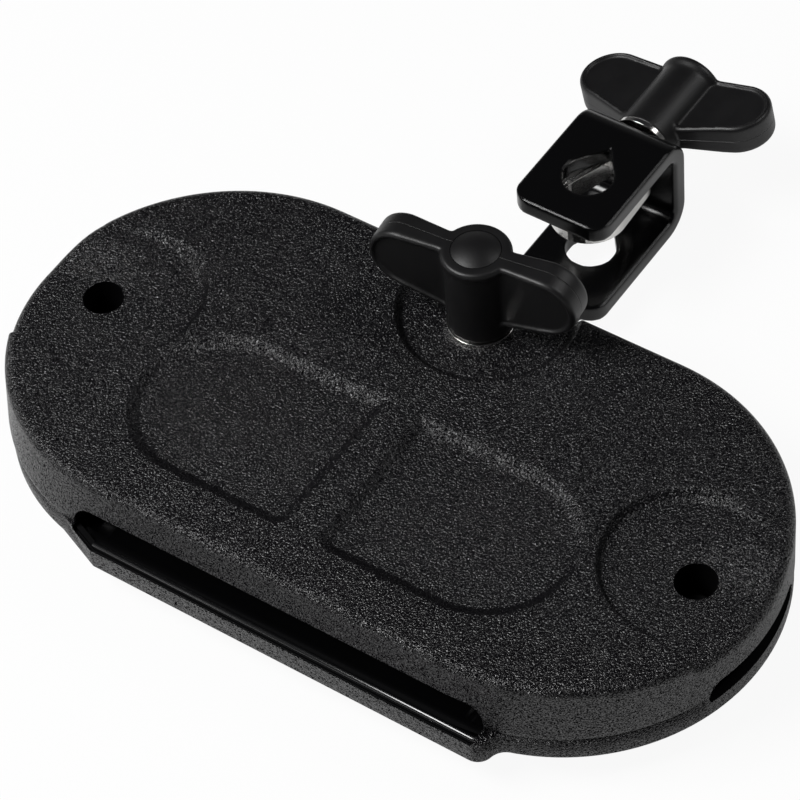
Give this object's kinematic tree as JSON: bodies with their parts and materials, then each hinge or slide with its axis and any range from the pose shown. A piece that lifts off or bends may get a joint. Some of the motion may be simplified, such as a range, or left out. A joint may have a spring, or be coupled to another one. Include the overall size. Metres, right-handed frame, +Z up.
{
  "type": "woodblock",
  "caption": "Black plastic woodblock, a slotted hollow block with round ends, with a bent steel strap, a rod clamp and wing nuts.",
  "frame": {"origin": "On the axis of the stand rod, midway between the two leaves of the steel strap.", "axes": "+X along the block's length, +Y from the block to the clamp's wing nut, +Z up out of the struck face, along the rod."},
  "size_m": [0.1922, 0.1857, 0.0526],
  "materials": {
    "grained_plastic": "moulded with a fine pebbled grain, semi-matt",
    "satin_plastic": "satin moulded",
    "painted_steel": "gloss black powder coat",
    "chromed_steel": "bright chrome plating",
    "black_steel": "black oxide",
    "plain_steel": "zinc plated"
  },
  "bodies": {
    "clamp_bracket": {"bracket": "painted_steel", "clamp_washer": "chromed_steel"},
    "block": {"top_shell": "grained_plastic", "bottom_shell": "grained_plastic", "shell_screws": "black_steel", "mount_washer": "chromed_steel"},
    "mount_bolt": {"mount_bolt": "chromed_steel"},
    "block_wing_nut": {"block_nut_body": "satin_plastic", "block_nut_insert": "plain_steel", "block_nut_cap": "satin_plastic"},
    "eye_bolt": {"eye_bolt": "chromed_steel"},
    "clamp_wing_nut": {"clamp_nut_body": "satin_plastic", "clamp_nut_insert": "plain_steel", "clamp_nut_cap": "satin_plastic"}
  },
  "joints": [
    {"name": "block_swivel", "type": "hinge", "parent": "clamp_bracket", "child": "block", "pos_m": [0, -0.0457, 0], "axis": [0, 0, 1], "range_deg": [-20, 20]},
    {"name": "block_nut_turn", "type": "hinge", "parent": "block", "child": "block_wing_nut", "pos_m": [0, -0.0457, 0], "axis": [0, 0, 1], "range_deg": [0, 720]},
    {"name": "mount_bolt_drop", "type": "slide", "parent": "clamp_bracket", "child": "mount_bolt", "axis": [0, 0, -1], "range_m": [0, 0.0025]},
    {"name": "clamp_nut_turn", "type": "hinge", "parent": "clamp_bracket", "child": "clamp_wing_nut", "pos_m": [0, 0.0238, 0.004], "axis": [0, -1, 0], "range_deg": [-1152, 576]},
    {"name": "eye_bolt_slide", "type": "slide", "parent": "clamp_bracket", "child": "eye_bolt", "axis": [0, 1, 0], "range_m": [-0.004, 0.002]}
  ],
  "couplings": [
    {"joint": "block_nut_turn", "follows": "mount_bolt_drop", "rad_per_m": 5026.5},
    {"joint": "clamp_nut_turn", "follows": "eye_bolt_slide", "rad_per_m": 5026.5}
  ]
}
